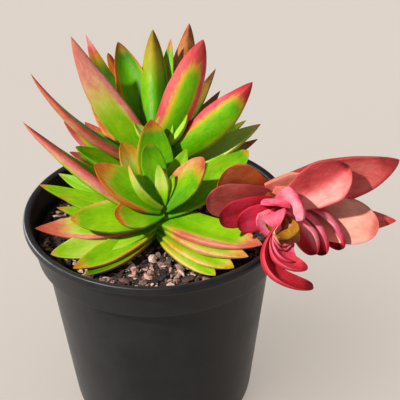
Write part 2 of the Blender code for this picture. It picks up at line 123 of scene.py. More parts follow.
def tube_faces(rows, columns, start=0):
    """Quads between the rings of a closed tube, then the triangles that join its first and last ring to
    one point each. The points are the rings in order, then the first end's point, then the last one's."""
    i = np.arange(rows - 1)[:, None] * columns
    j = np.arange(columns)[None, :]
    n = (j + 1) % columns
    quads = np.stack([i + j, i + n, i + columns + n, i + columns + j], -1).reshape(-1, 4) + start
    k = np.arange(columns)
    m = (k + 1) % columns
    first = rows * columns
    last = (rows - 1) * columns
    near = np.stack([np.full(columns, first), m, k], -1) + start
    far = np.stack([np.full(columns, first + 1), last + k, last + m], -1) + start
    return quads, np.concatenate([near, far])


def closed_tubes(tubes):
    """Points, quads and triangles of several closed tubes in one mesh. Each tube is given by its rings, as
    an array of shape (rings, corners, 3), and by the point that closes each of its two ends."""
    points, quads, triangles = [], [], []
    start = 0
    for rings, ends in tubes:
        rows, columns = rings.shape[:2]
        q, t = tube_faces(rows, columns, start)
        points.append(np.concatenate([rings.reshape(-1, 3), ends]))
        quads.append(q)
        triangles.append(t)
        start += rows * columns + 2
    return [np.concatenate(parts) for parts in (points, quads, triangles)]


def piece(name, points, quads, triangles, finish, node, slot, smooth=True, **fields):
    """One mesh object from points in millimetres. Its faces are turned over if they enclose a negative
    volume, and each field becomes an attribute of its points."""
    points = np.asarray(points, float)
    quads = np.asarray(quads, int).reshape(-1, 4)
    triangles = np.asarray(triangles, int).reshape(-1, 3)
    halves = np.concatenate([quads[:, :3], quads[:, [0, 2, 3]], triangles])
    a, b, c = (points[halves[:, i]] for i in range(3))
    if np.einsum("ij,ij->i", a, np.cross(b, c)).sum() < 0:
        quads = quads[:, ::-1]
        triangles = triangles[:, ::-1]
    mesh = bpy.data.meshes.new(name)
    mesh.from_pydata((points * 0.001).tolist(), [], quads.tolist() + triangles.tolist())
    mesh.polygons.foreach_set("use_smooth", np.full(len(mesh.polygons), smooth))
    for field, values in fields.items():
        kind, key = ("FLOAT", "value") if np.ndim(values) == 1 else ("FLOAT_VECTOR", "vector")
        attribute = mesh.attributes.new(field, kind, "POINT")
        attribute.data.foreach_set(key, np.asarray(values, np.float32).ravel())
    mesh.materials.append(finish)
    made = bpy.data.objects.new(name, mesh)
    bpy.context.scene.collection.objects.link(made)
    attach(made, "root")
    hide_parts(node)
    return made


def cut_away(target, points, quads, triangles):
    """Cuts a closed shape in millimetres out of the target's mesh."""
    mesh = bpy.data.meshes.new("cutter")
    mesh.from_pydata((points * 0.001).tolist(), [], quads.tolist() + triangles.tolist())
    cutter = bpy.data.objects.new("cutter", mesh)
    bpy.context.scene.collection.objects.link(cutter)
    modifier = target.modifiers.new("cut", "BOOLEAN")
    modifier.operation = "DIFFERENCE"
    modifier.solver = "MANIFOLD"
    modifier.object = cutter
    bpy.context.view_layer.objects.active = target
    bpy.ops.object.modifier_apply(modifier=modifier.name)
    bpy.data.objects.remove(cutter, do_unlink=True)


def upright_cylinders(places, radius, low, high, sides=32):
    """Closed upright cylinders round the given (x, y) places, as one set of points and faces."""
    turn = np.linspace(0, 2 * np.pi, sides, endpoint=False)
    tubes = []
    for x, y in places:
        ring = np.stack([x + radius * np.cos(turn), y + radius * np.sin(turn)], -1)
        rings = np.stack([np.column_stack([ring, np.full(sides, z)]) for z in (low, high)])
        tubes.append((rings, [[x, y, low], [x, y, high]]))
    return closed_tubes(tubes)


def node_maker(tree):
    """A function that adds a node and sets its inputs by name, written with _ for each space."""

    def add(kind, attributes=(), **inputs):
        node = tree.nodes.new("ShaderNode" + kind)
        for key, value in attributes:
            setattr(node, key, value)
        for key, value in inputs.items():
            node.inputs[key.replace("_", " ")].default_value = value
        return node

    return add


def new_material(name):
    """A Principled material, given back with its shader, its node maker and its linker."""
    made = bpy.data.materials.new(name)
    made.use_nodes = True
    tree = made.node_tree
    return made, tree.nodes["Principled BSDF"], node_maker(tree), tree.links.new


def colour_ramp(add, *stops):
    """A colour ramp from (place, colour) stops."""
    node = add("ValToRGB")
    elements = node.color_ramp.elements
    while len(elements) < len(stops):
        elements.new(0.5)
    for element, (place, colour) in zip(elements, stops):
        element.position = place
        element.color = (*colour, 1.0)
    return node


def black_plastic():
    """Black polypropylene: faint upright flow streaks, and fine dust that lightens and dulls it."""
    made, shader, add, link = new_material("black_plastic")
    place = add("TexCoord")
    upright = add("Mapping", Scale=(1.0, 1.0, 0.06))
    streaks = add("TexNoise", Scale=240.0, Detail=3.0)
    dust = add("TexNoise", Scale=55.0, Detail=7.0, Roughness=0.68)
    grain = add("TexNoise", Scale=1500.0, Detail=2.0)
    link(place.outputs["Object"], upright.inputs["Vector"])
    link(upright.outputs["Vector"], streaks.inputs["Vector"])
    link(place.outputs["Object"], dust.inputs["Vector"])
    link(place.outputs["Object"], grain.inputs["Vector"])
    colour = colour_ramp(add, (0.36, (0.0060, 0.0062, 0.0074)), (0.72, (0.0135, 0.0133, 0.0148)))
    link(dust.outputs["Fac"], colour.inputs["Fac"])
    link(colour.outputs["Color"], shader.inputs["Base Color"])
    sheen = add("MapRange", From_Min=0.3, From_Max=0.75, To_Min=0.32, To_Max=0.48)
    link(dust.outputs["Fac"], sheen.inputs["Value"])
    link(sheen.outputs["Result"], shader.inputs["Roughness"])
    shader.inputs["Specular IOR Level"].default_value = 0.25
    relief = add("Math", [("operation", "MULTIPLY_ADD")])
    relief.inputs[1].default_value = 0.25
    link(grain.outputs["Fac"], relief.inputs[0])
    link(streaks.outputs["Fac"], relief.inputs[2])
    bump = add("Bump", Strength=0.25, Distance=0.0003)
    link(relief.outputs["Value"], bump.inputs["Height"])
    link(bump.outputs["Normal"], shader.inputs["Normal"])
    return made


section = rounded_section(POT_SECTION)[1:-1]
turn = np.linspace(0, 2 * np.pi, POT_SEGMENTS, endpoint=False)
notch_turns = FIRST_NOTCH + 2 * np.pi * np.arange(NOTCHES) / NOTCHES
off_notch = np.abs((turn[:, None] - notch_turns + np.pi) % (2 * np.pi) - np.pi).min(axis=1)
flank = np.clip((NOTCH_WIDTH / 2 / BASE_RADIUS - off_notch) / 0.03 + 0.5, 0, 1)
height = np.repeat(section[:, 1][:, None], POT_SEGMENTS, axis=1)
on_ring = (section[:, 0] > 30)[:, None]
height = np.where(on_ring, np.maximum(height, NOTCH_HEIGHT * flank), height)
reach = section[:, 0][:, None]
rings = np.stack([reach * np.cos(turn), reach * np.sin(turn), height], -1)
floor_middles = [(0, 0, POT_SECTION[0][1]), (0, 0, 0)]
pot = piece(
    "pot_shell", *closed_tubes([(rings, floor_middles)]), black_plastic(), "pot", "black_plastic"
)
drain_turns = 2 * np.pi * (np.arange(DRAIN_HOLES) + 0.5) / DRAIN_HOLES
drain_places = DRAIN_HOLE_CIRCLE * np.stack([np.cos(drain_turns), np.sin(drain_turns)], -1)
cut_away(pot, *upright_cylinders(drain_places, DRAIN_HOLE_RADIUS, -1.0, 8.0))

# Soil
# Dark compost that fills the pot to 13 mm below the rim, under a loose layer of crushed bark and pumice
# chips, finer crumbs and bits of twig.

SOIL_HEIGHT = 97.0
SOIL_RADIUS = 58.2
SOIL_COLUMNS = 280
STEM_FEET = np.array([(-1.0, -8.0), (-3.0, 17.0), (32.0, 2.0)])
STEM_HOLE_RADIUS = 4.2
STEM_HOLE_FLOOR = 71.7
CHIPS = 1500
CRUMBS = 2200
TWIGS = 16
TWIG_SIDES = 6
TWIG_GIRTHS = np.array([0.7, 1.0, 0.9, 1.0, 0.6])

rng = np.random.default_rng(7)
waves = rng.uniform(-1, 1, (9, 4))


def slow_waves(x, y):
    """Nine sine waves of seeded direction and height, calmed towards the wall."""
    fade = np.minimum(1.0, (62.0 - np.hypot(x, y)) / 12.0)
    total = sum(np.sin(a * 0.16 * x + b * 0.16 * y + 6 * c) * d for a, b, c, d in waves)
    return 0.45 * fade * total


def smoothstep(x):
    """0 below 0, 1 above 1, and 3 x^2 - 2 x^3 between."""
    x = np.clip(x, 0.0, 1.0)
    return x * x * (3 - 2 * x)


def lumps(x, y, cell, seed):
    """Value noise from 0 to 1: seeded heights on a square net of the given cell, joined by smooth steps."""
    net = np.random.default_rng(seed).uniform(0, 1, (160, 160))
    gx = x / cell + 80
    gy = y / cell + 80
    i = np.floor(gx).astype(int)
    j = np.floor(gy).astype(int)
    s = smoothstep(gx - i)
    t = smoothstep(gy - j)
    low = net[i, j] * (1 - s) + net[i + 1, j] * s
    high = net[i, j + 1] * (1 - s) + net[i + 1, j + 1] * s
    return low * (1 - t) + high * t


def soil_top(x, y):
    """Height of the soil's surface: its level, the slow waves, and three sizes of clods on them."""
    clods = 1.0 * lumps(x, y, 6.0, 1) + 0.7 * lumps(x, y, 2.5, 2) + 0.5 * lumps(x, y, 1.2, 3) - 1.3
    return SOIL_HEIGHT - 0.3 + slow_waves(x, y) + clods


def grit(count, base, sizes, tilt, place):
    """Many copies of one convex base shape: each is scaled, its corners are drawn in by chance, and it is
    tipped, spun and moved to its place. Gives points of shape (count, corners, 3)."""
    corners = base[None] * rng.uniform(0.45, 1.0, (count, len(base), 1)) * sizes[:, None, :]
    tips = rng.uniform(-tilt, tilt, (count, 2))
    corners[..., 2] += tips[:, :1] * corners[..., 0] + tips[:, 1:] * corners[..., 1]
    spin = rng.uniform(0, 2 * np.pi, count)[:, None]
    x = corners[..., 0] * np.cos(spin) - corners[..., 1] * np.sin(spin)
    y = corners[..., 0] * np.sin(spin) + corners[..., 1] * np.cos(spin)
    return np.stack([x, y, corners[..., 2]], -1) + place[:, None, :]


def scattered(count, most, clear):
    """Places spread evenly over the disc of the soil, each pushed out to a clearance from the stems."""
    away = most * np.sqrt(rng.uniform(0, 1, count))
    turn = rng.uniform(0, 2 * np.pi, count)
    places = np.stack([away * np.cos(turn), away * np.sin(turn)], -1)
    for foot in STEM_FEET:
        off = places - foot
        far = np.linalg.norm(off, axis=1, keepdims=True)
        places = np.where(far < clear, foot + off / far * clear, places)
    return places


def shells(corners, faces):
    """The points and faces of many copies of one closed shape."""
    count, size, _ = corners.shape
    start = (np.arange(count) * size)[:, None, None]
    return corners.reshape(-1, 3), np.zeros((0, 4)), (faces[None] + start).reshape(-1, 3)


def earth(name, *stops, patches=900.0):
    """Dull mineral or bark: a ramp over the piece's own kind, shifted by fine noise, with a rough grain."""
    made, shader, add, link = new_material(name)
    place = add("TexCoord")
    kind = add("Attribute", [("attribute_name", "kind")])
    mottle = add("TexNoise", Scale=patches, Detail=4.0, Roughness=0.7)
    link(place.outputs["Object"], mottle.inputs["Vector"])
    shift = add("MapRange", From_Min=0.3, From_Max=0.7, To_Min=-0.16, To_Max=0.16)
    link(mottle.outputs["Fac"], shift.inputs["Value"])
    total = add("Math", [("operation", "ADD")])
    link(kind.outputs["Fac"], total.inputs[0])
    link(shift.outputs["Result"], total.inputs[1])
    colour = colour_ramp(add, *stops)
    link(total.outputs["Value"], colour.inputs["Fac"])
    link(colour.outputs["Color"], shader.inputs["Base Color"])
    shader.inputs["Roughness"].default_value = 0.9
    bump = add("Bump", Strength=0.6, Distance=0.0003)
    link(mottle.outputs["Fac"], bump.inputs["Height"])
    link(bump.outputs["Normal"], shader.inputs["Normal"])
    return made


soil_side = np.array([(41.0, 5.4), (42.9, 9.6), (53.2, 88.7), (56.7, 92.3)])
soil_reach = np.concatenate([soil_side[:, 0], np.linspace(SOIL_RADIUS, 1.0, 56)])
turn = np.linspace(0, 2 * np.pi, SOIL_COLUMNS, endpoint=False)
x = soil_reach[:, None] * np.cos(turn)
y = soil_reach[:, None] * np.sin(turn)
z = soil_top(x, y)
z[: len(soil_side)] = soil_side[:, 1:]
soil_middles = [(0, 0, soil_side[0, 1]), (0, 0, SOIL_HEIGHT - 0.5)]
points, quads, triangles = closed_tubes([(np.stack([x, y, z], -1), soil_middles)])
bed = piece(
    "soil_bed",
    points,
    quads,
    triangles,
    earth("compost", (0.2, (0.010, 0.006, 0.005)), (0.8, (0.055, 0.032, 0.024)), patches=700.0),
    "soil",
    "compost",
    kind=np.full(len(points), 0.5),
)
cut_away(bed, *upright_cylinders(STEM_FEET, STEM_HOLE_RADIUS, STEM_HOLE_FLOOR, SOIL_HEIGHT + 7.0))

golden = (1 + 5**0.5) / 2
icosahedron = np.array(
    [
        (-1, golden, 0), (1, golden, 0), (-1, -golden, 0), (1, -golden, 0),
        (0, -1, golden), (0, 1, golden), (0, -1, -golden), (0, 1, -golden),
        (golden, 0, -1), (golden, 0, 1), (-golden, 0, -1), (-golden, 0, 1),
    ]
) / 1.9
icosahedron_faces = np.array(
    [
        (0, 11, 5), (0, 5, 1), (0, 1, 7), (0, 7, 10), (0, 10, 11), (1, 5, 9), (5, 11, 4),
        (11, 10, 2), (10, 7, 6), (7, 1, 8), (3, 9, 4), (3, 4, 2), (3, 2, 6), (3, 6, 8),
        (3, 8, 9), (4, 9, 5), (2, 4, 11), (6, 2, 10), (8, 6, 7), (9, 8, 1),
    ]
)
octahedron = np.array([(1, 0, 0), (-1, 0, 0), (0, 1, 0), (0, -1, 0), (0, 0, 1), (0, 0, -1)], float)
octahedron_faces = np.array(
    [(0, 2, 4), (2, 1, 4), (1, 3, 4), (3, 0, 4), (2, 0, 5), (1, 2, 5), (3, 1, 5), (0, 3, 5)]
)

chip_place = scattered(CHIPS, SOIL_RADIUS - 1.8, clear=6.0)
chip_long = rng.gamma(3.5, 0.62, CHIPS).clip(0.9, 4.2)
chip_size = chip_long[:, None] * np.array([1.0, 0.68, 0.42]) * rng.uniform(0.65, 1.3, (CHIPS, 3))
chip_level = soil_top(*chip_place.T) + 0.25 + 0.25 * chip_size[:, 2] + rng.uniform(-0.2, 0.5, CHIPS)
chip_place = np.column_stack([chip_place, chip_level])
corners = grit(CHIPS, icosahedron, chip_size, tilt=0.5, place=chip_place)
chip_kind = rng.uniform(0, 1, CHIPS)
bark = earth(
    "bark",
    (0.0, (0.014, 0.007, 0.006)),
    (0.34, (0.050, 0.026, 0.022)),
    (0.58, (0.16, 0.10, 0.085)),
    (0.74, (0.36, 0.19, 0.15)),
    (0.88, (0.50, 0.27, 0.22)),
    (1.0, (0.66, 0.47, 0.38)),
)
piece(
    "bark_chips",
    *shells(corners, icosahedron_faces),
    bark,
    "soil",
    "compost",
    smooth=False,
    kind=np.repeat(chip_kind, len(icosahedron)),
)

crumb_place = scattered(CRUMBS, SOIL_RADIUS - 0.9, clear=5.0)
crumb_size = rng.uniform(0.35, 0.95, (CRUMBS, 1)) * rng.uniform(0.6, 1.1, (CRUMBS, 3))
crumb_level = soil_top(*crumb_place.T) + rng.uniform(0.1, 1.1, CRUMBS)
crumb_place = np.column_stack([crumb_place, crumb_level])
corners = grit(CRUMBS, octahedron, crumb_size, tilt=0.7, place=crumb_place)
piece(
    "bark_crumbs",
    *shells(corners, octahedron_faces),
    bark,
    "soil",
    "compost",
    smooth=False,
    kind=np.repeat(rng.uniform(0, 0.95, CRUMBS), len(octahedron)),
)


def twig(start, heading, length, radius, bend):
    """Rings and ends of a thin round stick, on a line that bends sideways as a parabola."""
    u = np.linspace(0, 1, len(TWIG_GIRTHS))
    ahead = np.array([math.cos(heading), math.sin(heading), 0.0])
    aside = np.array([-ahead[1], ahead[0], 0.0])
    line = start + ahead * length * u[:, None] + aside * bend * (4 * u * (1 - u))[:, None]
    turn = np.linspace(0, 2 * np.pi, TWIG_SIDES, endpoint=False)
    girth = radius * TWIG_GIRTHS[:, None, None]
    ring = aside * np.cos(turn)[:, None] + np.array([0, 0, 1.0]) * np.sin(turn)[:, None]
    rings = line[:, None] + ring[None] * girth
    return rings, [line[0] - ahead * 0.3, line[-1] + ahead * 0.3]


twig_place = scattered(TWIGS, SOIL_RADIUS - 9.0, clear=9.0)
twig_rows = [
    (x, y, rng.uniform(0, 6.28), rng.uniform(5, 11), rng.uniform(0.3, 0.55)) for x, y in twig_place
]
# The split twig that lies at the left
twig_rows += [(-49.0, -3.0, 2.0, 9.0, 0.55), (-49.5, -1.0, 1.2, 6.0, 0.45)]
points, quads, triangles = closed_tubes(
    [
        twig(np.array([x, y, soil_top(x, y) + 1.3]), heading, length, radius, rng.uniform(-0.8, 0.8))
        for x, y, heading, length, radius in twig_rows
    ]
)
piece(
    "twigs",
    points,
    quads,
    triangles,
    earth("dry_twig", (0.2, (0.25, 0.15, 0.08)), (0.8, (0.62, 0.46, 0.30)), patches=400.0),
    "soil",
    "compost",
    kind=np.full(len(points), 0.55),
)

# Leafy heads
# Each head is one grown plant: a fleshy stem with thick leaves in crossed pairs. A leaf is a blade of firm
# flesh with a waxy skin, green in the shade and flushed yellow, orange, coral and crimson towards the sun.

# Leaf: distance of its foot along the stem, heading from +x towards +y and pitch above level in degrees,
# then length, width and thickness. bow and sweep are the sag towards the underside and to one side, as
# parts of the length; roll turns the face about the leaf's line; cup is the hollow of the upper face, and
# negative for a face that swells; root is the width at the foot, as a part of the full one, and widest the
# place of the full width; a small blunt rounds the tip.
# Then the skin: tone runs from 0, pale, to 1, dark; glow is the strength of the flush and rose its hue, 0
# for orange, 0.5 for coral and 1 for crimson; tip, left and right say how far it comes in from the tip, as
# a part of the length, and from the margins, as parts of half the width; under is the flush of the
# underside. Shifts of the tone: base at the foot, partly the leaf's own colour and partly painted shade
# deep in the head; ripe at the tip; painted shade on the right half of the face, where it lies in shade,
# and painted light there where this shift is below 0; keel on the underside. line is the fine line along
# the
# margin: red-brown above 0 and pale below.
Leaf = namedtuple(
    "Leaf",
    "at heading pitch length width thick bow sweep roll cup root widest blunt "
    "tone glow rose tip left right under base ripe dusk keel line",
    defaults=(
        4.5, 0.03, 0.0, 0, 0.2, 0.6, 0.5, 0.85,
        0.45, 1.0, 0.3, 0.1, 0.1, 0.1, 0.1, 0.15, 0.15, 0.0, 0.06, 0.05,
    ),
)
LEAF_STATIONS = 52
LEAF_SIDES = 36


def unit(v):
    """The vector at length 1, along the last axis."""
    return v / np.linalg.norm(v, axis=-1, keepdims=True)


def place_on(stem, distance):
    """The point at a distance from the first point along the stem's straight stretches."""
    points = np.array(stem, float)
    at = np.concatenate([[0.0], np.cumsum(np.linalg.norm(np.diff(points, axis=0), axis=1))])
    return np.array([np.interp(distance, at, points[:, i]) for i in range(3)])


def leaf_blade(stem, axis, row, chance, flush, deepen):
    """Rings along the leaf's line, which sags as a parabola. A ring's upper half is a low arch with a
    hollow or a swelling, its lower half a superellipse as deep as the leaf is thick, and its half width
    rises as a quarter sine to the widest place and falls as a power to the tip. The flush is one minus
    the product of what the tip's and each margin's own fall-off leaves bare."""
    heading, pitch, turn = np.radians([row.heading, row.pitch, row.roll])
    along = np.array([np.cos(pitch) * np.cos(heading), np.cos(pitch) * np.sin(heading), np.sin(pitch)])
    face = unit(np.array(axis) - along * (np.array(axis) @ along))
    face = face * np.cos(turn) + np.cross(along, face) * np.sin(turn)
    side = np.cross(along, face)
    foot = place_on(stem, row.at)

    def line(u):
        sag = (face * row.bow + side * row.sweep) * 4 * row.length
        return foot + along * row.length * u[..., None] - sag * (u * (1 - u))[..., None]

    s = np.linspace(0, 1, LEAF_STATIONS)
    u = (0.45 * s + 0.55 * (1 - np.cos(np.pi * s)) / 2) * 0.9985
    ahead = unit(line(u + 0.01) - line(u - 0.01))
    normal = unit(face - ahead * (ahead @ face)[:, None])
    across = np.cross(ahead, normal)
    rise = row.root + (1 - row.root) * np.sin(np.pi / 2 * np.minimum(u / row.widest, 1))
    fall = (1 - np.clip((u - row.widest) / (1 - row.widest), 0, 1) ** 1.9) ** row.blunt
    half = row.width / 2 * rise * fall
    half = half * (1 + 0.018 * np.sin(9 * u + 6 * chance[0]) + 0.01 * np.sin(23 * u + 6 * chance[1]))
    deep = row.thick * (0.8 + 0.2 * np.sin(np.pi * np.minimum(u / 0.8, 1))) * (1 - u**3.5) ** 0.8
    deep = np.minimum(deep, 1.3 * half)

    angle = np.linspace(0, 2 * np.pi, LEAF_SIDES, endpoint=False)
    v = np.cos(angle)
    upper = np.arange(LEAF_SIDES) <= LEAF_SIDES // 2
    power = np.where(upper, 0.6, 0.66)
    lift = (1 - np.abs(v) ** (2 / power)) ** (power / 2)
    edge = np.minimum(1.3, 0.3 * deep)[:, None]
    z = np.where(upper, edge * lift - edge, -edge - (deep[:, None] - edge) * lift)
    swell = np.where(row.cup > 0, v**2, 1 - v**2) * abs(row.cup) * half[:, None]
    ripple = 0.22 * np.sin(2 * np.pi * (1.4 * u + chance[2]))[:, None] * v
    groove = 0.35 * np.exp(-((v / 0.2) ** 2)) * np.sin(np.pi * u)[:, None] * upper * (row.cup > 0)
    shelf = np.where(upper, 1.0, 1 - lift)
    z = z + swell * shelf + ripple * np.sin(np.pi * u)[:, None] - groove
    rings = line(u)[:, None] + across[:, None] * (half[:, None] * v)[..., None]
    rings = rings + normal[:, None] * z[..., None]

    u = u[:, None] + 0 * v
    around = np.where(upper, 0.0, 0.25 * lift)
    rooted = smoothstep((u - 0.04) / 0.3)
    bare = 1.0 - smoothstep((u - 1 + row.tip) / max(0.85 * row.tip, 0.02))
    for reach, inward in ((row.left, 1 + v), (row.right, 1 - v)):
        band = smoothstep(1.12 - (around + inward) / max(reach, 0.03)) * min(1, 3.2 * reach)
        bare = bare * (1 - rooted * band)
    marked = 1 - bare
    below = np.where(upper, 0.0, smoothstep(1.6 * lift - 0.5)) * row.under
    rim = np.exp(-(((1 - np.abs(v) + around) / 0.08) ** 2))
    blush = row.glow * (1 - (1 - flush) * bare * (1 - below)) + max(row.line, 0) * rim
    # The shift at the foot is partly the leaf's own darker colour and partly painted shade deep in the
    # head.
    tone = row.tone + row.base * (1 - smoothstep(u / 0.6)) + deepen * (marked - 0.5)
    tone = tone + row.ripe * smoothstep((u - 0.7) / 0.3) + 0.3 * row.line * rim
    # Painted shade on the right half of the upper face, short of the margin line; below 0 it is painted
    # light there.
    tone = tone + np.where(upper, row.dusk * smoothstep((v + 0.2) / 0.6) * (1 - rim), row.keel)
    place = np.stack([half[:, None] * v, u * row.length + 200 * chance[3], z], -1)
    fields = {
        "tone": tone,
        "blush": blush,
        "rose": np.full(u.shape, row.rose),
        "leaf_place": place,
    }
    return rings, np.stack([line(np.array(-0.03)), line(np.array(1.0))]), fields


def stem_tube(stem, radii, flush, sides=20, spacing=1.0):
    """A round tube along the stem's line, with its corners eased by a running mean, and a low ring of
    leaf scar every few millimetres."""
    points = np.array(stem, float)
    at = np.concatenate([[0.0], np.cumsum(np.linalg.norm(np.diff(points, axis=0), axis=1))])
    s = np.arange(0, at[-1], spacing)
    line = np.stack([np.interp(s, at, points[:, i]) for i in range(3)], -1)
    padded = np.pad(line, ((4, 4), (0, 0)), mode="reflect", reflect_type="odd")
    line = sum(padded[k : k + len(line)] for k in range(9)) / 9
    radius = np.interp(s, at, radii) + 0.22 * np.maximum(0, np.sin(s * 1.5)) ** 6
    ahead = unit(np.gradient(line, axis=0))
    across = unit(np.cross(ahead, (0.0, 1.0, 0.13)))
    normal = np.cross(across, ahead)
    turn = np.linspace(0, 2 * np.pi, sides, endpoint=False)
    ring = across[:, None] * np.cos(turn)[:, None] + normal[:, None] * np.sin(turn)[:, None]
    rings = line[:, None] + ring * radius[:, None, None]
    shape = rings.shape[:2]
    level = np.zeros(shape)
    fields = {
        "tone": np.full(shape, 0.85),
        "blush": np.full(shape, 0.15 + 0.6 * flush),
        "rose": np.full(shape, 0.2),
        "leaf_place": np.stack([radius[:, None] * turn, s[:, None] + level, level], -1),
    }
    return rings, np.stack([line[0] - ahead[0] * 0.2, line[-1] + ahead[-1] * radius[-1] * 0.5]), fields


def grown(name, tubes, finish, node, slot):
    """One piece of several closed tubes, each with its rings, its two end points and its fields."""
    joined = {}
    for key in tubes[0][2]:
        parts = [values[key].reshape(rings[..., 0].size, -1) for rings, _, values in tubes]
        whole = np.concatenate([np.concatenate([part, part[:1], part[-1:]]) for part in parts])
        joined[key] = whole[:, 0] if whole.shape[1] == 1 else whole
    shape = closed_tubes([(rings, ends) for rings, ends, _ in tubes])
    return piece(name, *shape, finish, node, slot, **joined)


def skin_group():
    """The skin's colours: green by tone, turned yellow, orange and then coral or crimson as the blush
    grows, all broken up by streaks along the leaf, soft mottling and pale flecks."""
    group = bpy.data.node_groups.new("succulent_skin", "ShaderNodeTree")
    for socket in ("Tone", "Blush", "Rose", "Streaks", "Flecks"):
        group.interface.new_socket(socket, in_out="INPUT", socket_type="NodeSocketFloat")
    group.interface.new_socket("Place", in_out="INPUT", socket_type="NodeSocketVector")
    group.interface.new_socket("Color", in_out="OUTPUT", socket_type="NodeSocketColor")
    group.interface.new_socket("Roughness", in_out="OUTPUT", socket_type="NodeSocketFloat")
    group.interface.new_socket("Height", in_out="OUTPUT", socket_type="NodeSocketFloat")
    add = node_maker(group)
    link = group.links.new
    given = group.nodes.new("NodeGroupInput").outputs
    out = group.nodes.new("NodeGroupOutput").inputs

    def maths(operation, a, b, clamp=False):
        node = add("Math", [("operation", operation), ("use_clamp", clamp)])
        for socket, value in zip(node.inputs, (a, b)):
            if isinstance(value, (int, float)):
                socket.default_value = value
            else:
                link(value, socket)
        return node.outputs["Value"]

    def mixed(share, a, b):
        node = add("Mix", [("data_type", "RGBA")])
        link(share, node.inputs[0])
        link(a, node.inputs[6])
        link(b, node.inputs[7])
        return node.outputs[2]

    def stretched(scale, size, detail, roughness=0.55):
        move = add("Mapping", Scale=scale)
        noise = add("TexNoise", Scale=size, Detail=detail, Roughness=roughness)
        link(given["Place"], move.inputs["Vector"])
        link(move.outputs["Vector"], noise.inputs["Vector"])
        return noise.outputs["Fac"]

    def eased(value, low, high):
        node = add("MapRange", [("interpolation_type", "SMOOTHSTEP")], From_Min=low, From_Max=high)
        link(value, node.inputs["Value"])
        return node.outputs["Result"]

    streak = maths("SUBTRACT", stretched((1.0, 0.22, 1.0), 1.1, 4.0), 0.5)
    mottle = maths("SUBTRACT", stretched((1.0, 0.6, 1.0), 0.2, 4.0), 0.5)
    fine = stretched((1.0, 0.45, 1.0), 2.6, 2.0, 0.6)
    tone = maths("ADD", given["Tone"], maths("MULTIPLY", streak, given["Streaks"]))
    tone = maths("ADD", tone, maths("MULTIPLY", mottle, 0.35))
    speck = maths("SUBTRACT", stretched((1.0, 0.35, 1.0), 0.9, 3.0, 0.7), 0.5)
    tone = maths("ADD", tone, maths("MULTIPLY", speck, 0.25), clamp=True)
    uneven = maths("ADD", maths("MULTIPLY", speck, 0.8), maths("MULTIPLY", mottle, 0.4))
    blush = maths("MULTIPLY", given["Blush"], maths("ADD", uneven, 1.0), clamp=True)
    green = colour_ramp(
        add,
        (0.0, (0.50, 0.62, 0.11)),
        (0.25, (0.27, 0.50, 0.006)),
        (0.5, (0.10, 0.33, 0.001)),
        (0.75, (0.045, 0.18, 0.001)),
        (1.0, (0.03, 0.06, 0.002)),
    )
    yellow = colour_ramp(
        add, (0.0, (0.75, 0.66, 0.22)), (0.4, (0.48, 0.36, 0.015)), (1.0, (0.13, 0.085, 0.004))
    )
    orange = colour_ramp(
        add,
        (0.0, (0.80, 0.50, 0.20)),
        (0.35, (0.60, 0.17, 0.018)),
        (0.7, (0.33, 0.05, 0.006)),
        (1.0, (0.12, 0.02, 0.005)),
    )
    coral = colour_ramp(
        add,
        (0.0, (0.82, 0.44, 0.33)),
        (0.3, (0.62, 0.19, 0.145)),
        (0.55, (0.46, 0.068, 0.058)),
        (0.8, (0.24, 0.030, 0.032)),
        (1.0, (0.08, 0.01, 0.01)),
    )
    crimson = colour_ramp(
        add,
        (0.0, (0.85, 0.45, 0.50)),
        (0.25, (0.78, 0.10, 0.18)),
        (0.45, (0.66, 0.030, 0.075)),
        (0.65, (0.46, 0.008, 0.020)),
        (0.85, (0.20, 0.007, 0.012)),
        (1.0, (0.10, 0.005, 0.008)),
    )
    for ramp in (green, yellow, orange, coral, crimson):
        link(tone, ramp.inputs["Fac"])
    to_coral = maths("MULTIPLY", given["Rose"], 2.0, clamp=True)
    warm = mixed(to_coral, orange.outputs["Color"], coral.outputs["Color"])
    to_crimson = maths("SUBTRACT", maths("MULTIPLY", given["Rose"], 2.0), 1.0, clamp=True)
    warm = mixed(to_crimson, warm, crimson.outputs["Color"])
    colour = mixed(eased(blush, 0.02, 0.5), green.outputs["Color"], yellow.outputs["Color"])
    colour = mixed(eased(blush, 0.28, 0.85), colour, warm)
    pale = add("Mix", [("data_type", "RGBA"), ("blend_type", "SCREEN")])
    flecks = maths("MULTIPLY", eased(fine, 0.56, 0.72), given["Flecks"])
    link(maths("MULTIPLY", flecks, blush), pale.inputs[0])
    link(colour, pale.inputs[6])
    pale.inputs[7].default_value = (0.30, 0.27, 0.20, 1.0)
    link(pale.outputs[2], out["Color"])
    sheen = maths("ADD", maths("MULTIPLY", mottle, 0.3), 0.40)
    link(maths("ADD", sheen, maths("MULTIPLY", fine, 0.08)), out["Roughness"])
    link(maths("ADD", maths("MULTIPLY", fine, 0.5), maths("MULTIPLY", streak, 0.8)), out["Height"])
    return group


skin = skin_group()


